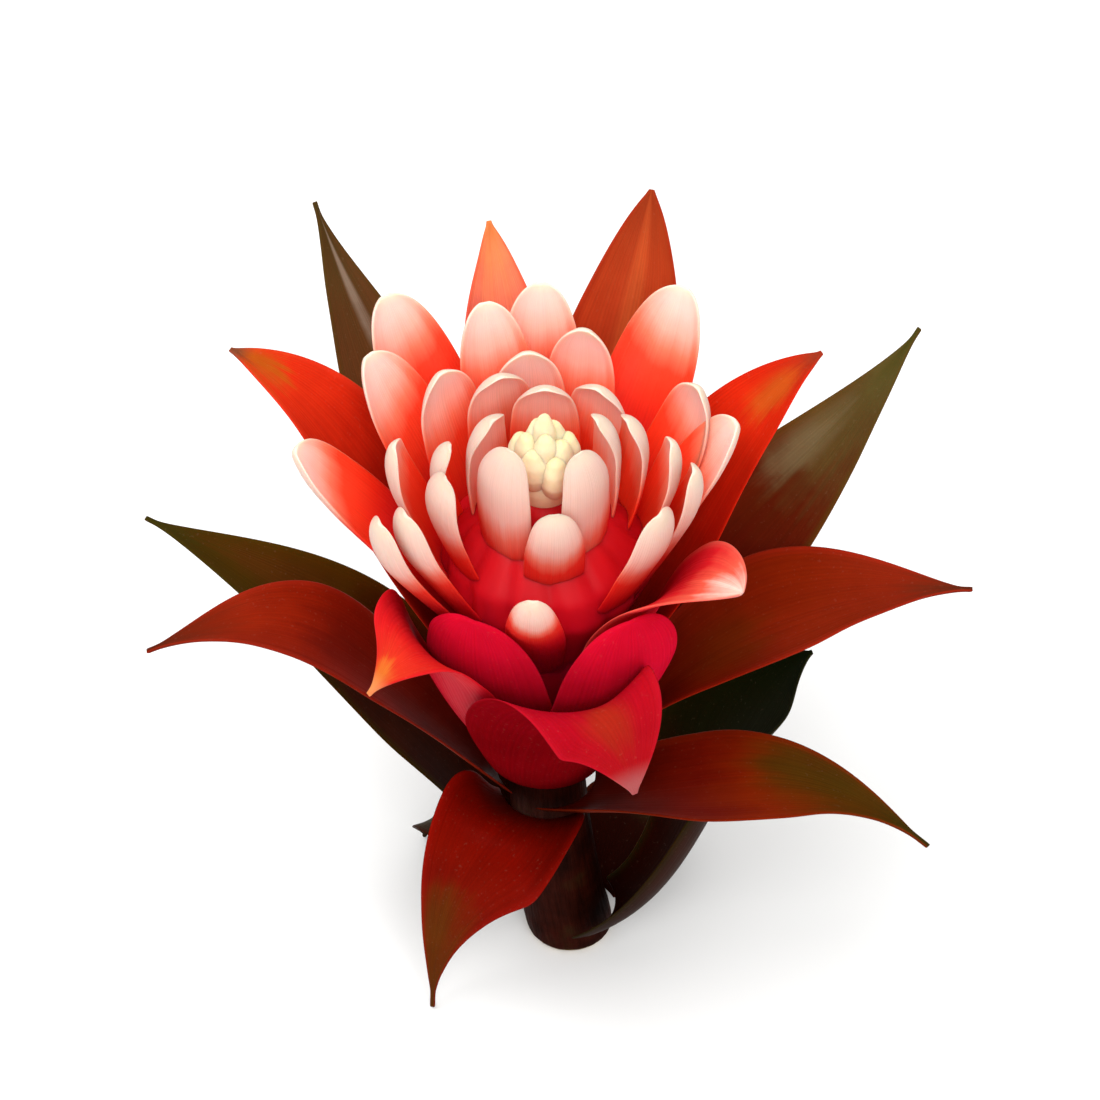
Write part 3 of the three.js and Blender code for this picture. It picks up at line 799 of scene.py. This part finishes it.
LEAF_LOOKS = [
    dict(along=[(0, SHADED_NIGHT), (0.4, (52, 16, 6)), (0.7, DARK_OLIVE), (1, (44, 34, 10))],
         margin=(66, 22, 8), back=(50, 26, 12)),
    dict(along=[(0, SHADED_NIGHT), (0.4, (52, 16, 6)), (0.7, DARK_OLIVE), (1, (44, 34, 10))],
         margin=(66, 22, 8), back=(50, 26, 12)),
    dict(along=[(0, SHADED_NIGHT), (0.45, (78, 28, 4)), (0.6, (84, 54, 5)), (0.85, (72, 50, 5)),
                (1, (58, 54, 12))],
         margin=(66, 58, 8), back=(62, 36, 12),
         patches=[(0.35, 0.72, 0.3, 0.2, (92, 48, 14), 0.7)]),
    dict(along=[(0, SHADED_NIGHT), (0.35, (60, 20, 5)), (0.6, (36, 34, 5)), (1, (18, 28, 6))],
         margin=(40, 46, 8), back=(44, 18, 5)),
    dict(along=[(0, (84, 8, 2)), (0.3, (130, 10, 0)), (0.55, (128, 16, 2)), (0.75, (112, 44, 5)),
                (1, (92, 50, 10))],
         margin=(152, 16, 5), back=(66, 16, 6),
         patches=[(0.3, 0.7, 0.3, 0.16, (96, 52, 8), 0.6)]),
    dict(along=[(0, SHADED_NIGHT), (0.4, SHADED_DEEP), (0.7, (70, 50, 12)), (1, (60, 56, 16))],
         margin=(50, 80, 22), back=(66, 42, 18)),
    dict(along=[(0, (96, 14, 4)), (0.3, (138, 24, 5)), (0.5, (150, 42, 4)), (0.72, (96, 52, 5)),
                (1, (52, 48, 10))],
         margin=(146, 40, 10), back=(70, 28, 10),
         patches=[(0.75, 0.66, 0.4, 0.2, (76, 56, 10), 0.8)]),
    dict(along=[(0, SHADED_DEEP), (0.4, (146, 28, 8)), (0.75, (152, 36, 10)), (1, (92, 36, 16))],
         margin=(172, 42, 22), back=(84, 26, 10),
         patches=[(0.5, 0.46, 0.35, 0.14, (110, 20, 10), 0.6)]),
    # leaf_09: the pale olive patch near the tip is a painted highlight.
    dict(along=[(0, SHADED_DEEP), (0.42, (114, 26, 10)), (0.56, (108, 34, 10)), (0.7, (104, 76, 36)),
                (0.84, (98, 84, 40)), (1, (74, 70, 22))],
         margin=(92, 72, 24), back=(84, 54, 22),
         patches=[(0.7, 0.7, 0.22, 0.1, (134, 116, 82), 0.6)]),
    # leaf_10: the pale streak along the midrib towards the tip is a painted highlight.
    dict(along=[(0, SHADED_DEEP), (0.45, (112, 48, 20)), (0.65, (124, 74, 38)), (1, (84, 66, 30))],
         margin=(88, 70, 24), back=(90, 54, 26),
         patches=[(0.42, 0.84, 0.1, 0.14, (190, 166, 144), 0.6)], tone=0.5),
    dict(along=[(0, SHADED_DEEP), (0.3, (142, 32, 5)), (0.6, (148, 38, 6)), (0.85, (142, 36, 12)),
                (1, (96, 40, 20))],
         margin=(178, 40, 20), back=(96, 26, 10),
         patches=[(0.4, 0.4, 0.35, 0.15, (126, 48, 4), 0.7)]),
]
RED_LOOKS = [
    # red_01: the dark root and low part, and the dark outer face at back_share 0.9, are painted
    # shade for the shade in and under the cup.
    dict(along=[(0, (72, 2, 4)), (0.3, (118, 4, 12)), (0.5, (196, 14, 40)), (0.75, (190, 16, 32)),
                (1, (178, 24, 28))],
         margin=(206, 24, 44), back=(126, 4, 12), back_share=0.9, dry=(150, 84, 84), light=0.2,
         gloss=0,
         patches=[(0.5, 0.78, 0.22, 0.14, (168, 50, 20), 0.6)]),
    dict(along=[(0, SHADED_WINE), (0.45, (212, 14, 42)), (0.72, (228, 34, 34)), (0.88, (232, 58, 34)),
                (1, (236, 108, 48))],
         margin=(226, 26, 38), back=(214, 16, 42), dry=(206, 130, 80), light=0.2,
         patches=[(0.4, 0.95, 0.4, 0.07, (236, 124, 46), 0.9)]),
    dict(along=[(0, SHADED_WINE), (0.5, (192, 52, 22)), (0.8, (198, 70, 32)), (1, (168, 62, 28))],
         margin=(174, 46, 20), back=(168, 40, 20), light=0.15,
         patches=[(0.5, 0.75, 0.12, 0.35, (214, 92, 44), 0.8)]),
    dict(along=[(0, SHADED_WINE), (0.4, (172, 6, 30)), (0.75, CRIMSON), (1, (216, 14, 44))],
         margin=CRIMSON, back=(208, 12, 42), light=0.3, tone=0.72, gloss=0),
    dict(along=[(0, SHADED_WINE), (0.5, (212, 36, 16)), (0.8, (236, 52, 20)), (0.92, (210, 84, 26)),
                (1, (112, 62, 38))],
         margin=(236, 60, 34), back=(214, 36, 18), dry=(98, 60, 40), light=0.2,
         patches=[(0.4, 0.9, 0.25, 0.07, (202, 92, 20), 0.9)]),
    dict(along=[(0, SHADED_WINE), (0.5, (226, 40, 16)), (0.8, (236, 46, 16)), (1, (170, 54, 26))],
         margin=(224, 40, 18), back=(218, 34, 16), dry=(132, 46, 26), light=0.2,
         patches=[(0.5, 0.86, 0.3, 0.1, (216, 92, 26), 0.9)]),
    dict(along=[(0, SHADED_WINE), (0.4, (172, 6, 30)), (0.75, CRIMSON), (1, (216, 14, 44))],
         margin=CRIMSON, back=(208, 12, 42), light=0.3, tone=0.72, gloss=0),
    dict(along=[(0, SHADED_WINE), (0.5, (240, 74, 54)), (0.75, (252, 126, 100)), (0.92, (246, 142, 88)),
                (1, (224, 124, 68))],
         margin=(238, 76, 54), back=(228, 58, 34), dry=(200, 116, 62), light=0.25, veins=0.14,
         tone=0.8),
    dict(along=[(0, SHADED_WINE), (0.55, (220, 18, 42)), (0.76, (228, 34, 42)), (0.88, (242, 96, 74)),
                (0.96, (246, 188, 172)), (1, (250, 212, 196))],
         margin=(244, 110, 90), back=(224, 24, 44), light=0.25, tone=0.75),
]

# The crown's colours: from the tip, at 0, to three white zones down, at 1.
BLUSH_SPAN = 3
INNER_TONES = [
    (0, (254, 218, 204)), (0.12, (254, 202, 188)), (0.21, (254, 176, 156)),
    (0.29, (252, 122, 92)), (0.37, (250, 66, 36)), (0.55, (246, 44, 16)), (1, (226, 14, 28)),
]
OUTER_TONES = [
    (0, (246, 218, 200)), (0.16, (248, 206, 190)), (0.26, (250, 186, 170)),
    (0.34, (250, 120, 98)), (0.42, (246, 52, 38)), (0.6, (236, 28, 28)), (1, (216, 10, 42)),
]


def crown_finish():
    """The white-tipped bracts: cream rims, pink hoods, scarlet and then crimson bodies."""
    finish = Finish("white_tipped_bract")
    across, along = finish.on_blade()
    place = finish.own_place()
    vein, bands = veined(finish, across, along, CROWN_SEED)
    cloud = finish.grain(place, CROWN_CLOUD, detail=3.0)
    tip = finish.own("from_tip")
    outer = finish.own("outer")
    wander = finish.sum("MULTIPLY_ADD", bands, BLUSH_WANDER, -BLUSH_WANDER / 2)
    blush = finish.sum("ADD", finish.own("blush"), wander)
    share = finish.sum("DIVIDE", blush, BLUSH_SPAN)
    tone = finish.blend(outer, finish.ramp(share, INNER_TONES), finish.ramp(share, OUTER_TONES))
    low = finish.between(finish.own_height(place), *LOW_HEIGHTS, LOW_SHARE, 0.0)
    low = finish.times(low, finish.between(blush, *LOW_BLUSH))
    tone = finish.blend(low, tone, colour(*LOW_COLOUR))
    cap = finish.between(tip, *CAP_END, CAP_SHARE, 0.0)
    tone = finish.blend(cap, tone, colour(*CAP_COLOUR))
    shade = finish.between(vein, *VEIN_RANGE, *CROWN_VEIN_TONES)
    # Painted light: the inner faces are kept lighter than the outer faces, for the light that fills
    # the hoods.
    shade = finish.times(shade, finish.between(outer, 0.0, 1.0, INNER_TONE, OUTER_TONE))
    tone = finish.shaded(tone, shade)
    finish.paint(tone, finish.between(cloud, *CLOUD_RANGE, *CROWN_ROUGHNESS))
    height = finish.sum("ADD", vein, finish.times(cloud, CROWN_CLOUD_RELIEF))
    finish.relief(height, depth=0.00016, strength=0.4)
    finish.wax(gloss=0.1, light=0.6, glow=(1.0, 0.32, 0.22))
    return finish.material


def bud_finish():
    """A cream bud: orange at its foot, with faint fibres along it."""
    finish = Finish("cream_bud")
    across, along = finish.on_blade()
    cloud = finish.grain(finish.own_place(), BUD_CLOUD, detail=3.0)
    shade = finish.between(cloud, *CLOUD_RANGE, *BUD_CLOUD_TONES)
    tone = finish.shaded(finish.ramp(along, BUD_TONES), shade)
    finish.paint(tone, finish.between(cloud, *CLOUD_RANGE, *BUD_ROUGHNESS))
    fibres = finish.vector(finish.times(across, BUD_FIBRES), along, 0.0)
    finish.relief(finish.grain(fibres, 1.0), depth=0.0001, strength=0.4)
    finish.wax(gloss=0.2, light=0.4, glow=(1.0, 0.5, 0.25))
    return finish.material


def stem_finish():
    """A dark maroon skin, deepened to near black as painted shade that stands in for the shadow
    under the head, with fibres along it, and the paler pithy cut.
    """
    finish = Finish("stem")
    across, along = finish.on_blade()
    place = finish.own_place()
    fibres = finish.vector(
        finish.times(across, STEM_FIBRES), finish.times(along, STEM_FIBRE_LENGTH), STEM_SEED
    )
    fibre = finish.grain(fibres, 1.0, detail=4.0, roughness=0.6)
    cloud = finish.grain(place, STEM_CLOUD, detail=4.0)
    shade = finish.between(fibre, *CLOUD_RANGE, *STEM_FIBRE_TONES)
    # Painted shade: the near-black stem colours stand in for the shadow under the head.
    tone = finish.shaded(finish.ramp(cloud, STEM_AND_SHADE_TONES), shade)
    cut = finish.between(finish.own_height(place), *CUT_END, 1.0, 0.0)
    pith = finish.ramp(finish.grain(place, PITH, detail=3.0), PITH_TONES)
    tone = finish.blend(cut, tone, pith)
    finish.paint(tone, finish.between(fibre, *CLOUD_RANGE, *STEM_ROUGHNESS))
    finish.relief(fibre, depth=0.0005, strength=0.6)
    finish.wax(gloss=0.02, light=0.05, glow=(1.0, 0.3, 0.2))
    return finish.material


# The leaf bracts and the red bracts

for index, (row, look) in enumerate(zip(LEAVES, LEAF_LOOKS), start=1):
    mesh, layers = start_mesh()
    add_blade(mesh, layers, leaf_form(row), LEAF_GRID)
    finish = bract_finish(f"leaf_{index:02d}", row["rank"], look)
    make_piece(f"leaf_blade_{index:02d}", mesh, finish, "leaf_bract", f"leaf_bract_{index:02d}")

for index, (row, look) in enumerate(zip(RED_BRACTS, RED_LOOKS), start=1):
    mesh, layers = start_mesh()
    add_blade(mesh, layers, red_form(row), RED_GRID)
    finish = bract_finish(f"red_{index:02d}", row["rank"], look)
    make_piece(f"red_blade_{index:02d}", mesh, finish, "red_bract", f"red_bract_{index:02d}")


# The crown, the buds and the stem

def clear_of_buds(point):
    """Moves a point out of the room that the buds take."""
    out = Vector((point.x + HEAD_OFFSET, point.y))
    room = radius_on(BUD_ROOM, point.z) + BUD_GAP
    if 0 < out.length < room:
        out *= room / out.length
        return Vector((out.x - HEAD_OFFSET, out.y, point.z))
    return point


def core_shape(turn, radius, height):
    return around(-HEAD_OFFSET, math.degrees(turn), radius * CORE_SHARE, height)


def packed_shape(turn, radius, height):
    """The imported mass, drawn in between the bracts that it is made of."""
    seam = abs(math.sin(SEAMS_ROUND / 2 * turn + height * SEAM_SLANT))
    sunk = SEAM_DEPTH * (radius / PACKED_RADIUS) * (1 - seam) ** 2
    return around(-HEAD_OFFSET, math.degrees(turn), radius - sunk, height)


def stem_shape(turn, radius, height):
    """The bowed stem, with low fibres along it."""
    spot = Vector((
        math.cos(turn) * FIBRES_ROUND, math.sin(turn) * FIBRES_ROUND, height / FIBRE_LENGTH,
    ))
    fibre = 1 - FIBRE_HEIGHT * (1 + noise.noise(spot))
    return around(axis_at(height), math.degrees(turn), radius * fibre, height)


def bud_shape_at(out, lean, turn_round):
    """The shape of the bud that stands out from the heart by that much, leant and turned round."""
    def shape(turn, radius, height):
        swell = 1 + LOBE_HEIGHT * math.cos(BUD_LOBES * turn + height * LOBE_TWIST)
        x = radius * swell * math.cos(turn)
        y = radius * swell * math.sin(turn)
        c, s = math.cos(lean), math.sin(lean)
        x, z = x * c + height * s, height * c - x * s
        x, z = x + out, z + BUD_FOOT - BUD_FOOT_DROP * out
        c, s = math.cos(turn_round), math.sin(turn_round)
        return Vector((x * c - y * s - HEAD_OFFSET, x * s + y * c, z))
    return shape


mesh, layers = start_mesh()
for row in WHITE_BRACTS:
    add_blade(mesh, layers, white_form(*row), WHITE_GRID, clear_of_buds)
first_turned = len(mesh.verts)
add_turned(mesh, layers, spaced(CORE_PROFILE, CORE_STEP), CORE_SIDES, core_shape)
packing_sides = SIDES_PER_SEAM * SEAMS_ROUND
add_turned(mesh, layers, spaced(PACKING_PROFILE, PACKING_STEP), packing_sides, packed_shape)
mesh.verts.ensure_lookup_table()
for vert in mesh.verts[first_turned:]:
    vert[layers["from_tip"]] = CORE_DEPTH
    vert[layers["blush"]] = PACKED_BLUSH
    vert[layers["outer"]] = 1
make_piece("crown", mesh, crown_finish(), "flower_head", "flower_head")

mesh, layers = start_mesh()
add_turned(mesh, layers, spaced(BUD_DOME, DOME_STEP), DOME_SIDES, core_shape)
for k in range(BUD_COUNT):
    out = BUD_SPREAD * math.sqrt(k / (BUD_COUNT - 1))
    shape = bud_shape_at(out, math.radians(BUD_LEAN * out), math.radians(GOLDEN_TURN * k))
    widest = BUD_RADIUS + BUD_SWELLING * out
    outline = [(radius * widest, height * BUD_LENGTH) for radius, height in BUD_OUTLINE]
    add_turned(mesh, layers, spaced(outline, BUD_STEP), BUD_SIDES, shape)
make_piece("buds", mesh, bud_finish(), "bud", "bud_cluster")

mesh, layers = start_mesh()
side = [(radius, height) for height, radius in STEM_PROFILE]
stem_line = [(0, 0), *side, (0, side[-1][1])]
add_turned(mesh, layers, spaced(stem_line, STEM_STEP), STEM_SIDES, stem_shape)
make_piece("stem_skin", mesh, stem_finish(), "stem", "stem")


# The floor, the light and the camera

FLOOR_HALF = 3
FLOOR_DROP = 0.0004
LAMP_AIM = Vector((0, -0.015, 0.09))
VIEW_TARGET = (CUT_FACE + Vector((-4, 0, 104))) * MM
VIEW_DISTANCE = 0.8
VIEW_ELEVATION = math.radians(45)

floor_mesh = bmesh.new()
bmesh.ops.create_grid(floor_mesh, x_segments=1, y_segments=1, size=FLOOR_HALF)
bmesh.ops.translate(floor_mesh, verts=floor_mesh.verts, vec=(0, 0, -FLOOR_DROP))
floor_data = bpy.data.meshes.new("floor")
floor_mesh.to_mesh(floor_data)
floor_mesh.free()
floor = bpy.data.objects.new("floor", floor_data)
bpy.context.scene.collection.objects.link(floor)
pale = Finish("pale_floor")
pale.paint((0.86, 0.86, 0.85, 1), 0.9)
floor_data.materials.append(pale.material)

world = bpy.data.worlds.new("studio")
bpy.context.scene.world = world
world.use_nodes = True
world.node_tree.nodes["Background"].inputs["Color"].default_value = (1, 1, 1, 1)
world.node_tree.nodes["Background"].inputs["Strength"].default_value = 0.95


def softbox(name, place, size, power):
    """A square lamp that faces the flower head."""
    lamp = bpy.data.lights.new(name, "AREA")
    lamp.size = size
    lamp.energy = power
    holder = bpy.data.objects.new(name, lamp)
    holder.location = place
    aim = LAMP_AIM - Vector(place)
    holder.rotation_euler = aim.to_track_quat("-Z", "Y").to_euler()
    bpy.context.scene.collection.objects.link(holder)


softbox("key", place=(-0.35, -0.1, 1.1), size=0.8, power=7)
softbox("fill", place=(0.1, -0.85, 0.95), size=0.7, power=8)

lens = bpy.data.cameras.new("camera")
lens.sensor_width = 36
lens.lens = 144
camera = bpy.data.objects.new("camera", lens)
back = Vector((0, -math.cos(VIEW_ELEVATION), math.sin(VIEW_ELEVATION)))
camera.location = VIEW_TARGET + back * VIEW_DISTANCE
camera.rotation_euler = (math.pi / 2 - VIEW_ELEVATION, 0, 0)
bpy.context.scene.collection.objects.link(camera)
bpy.context.scene.camera = camera
bpy.context.scene.view_settings.view_transform = "Standard"
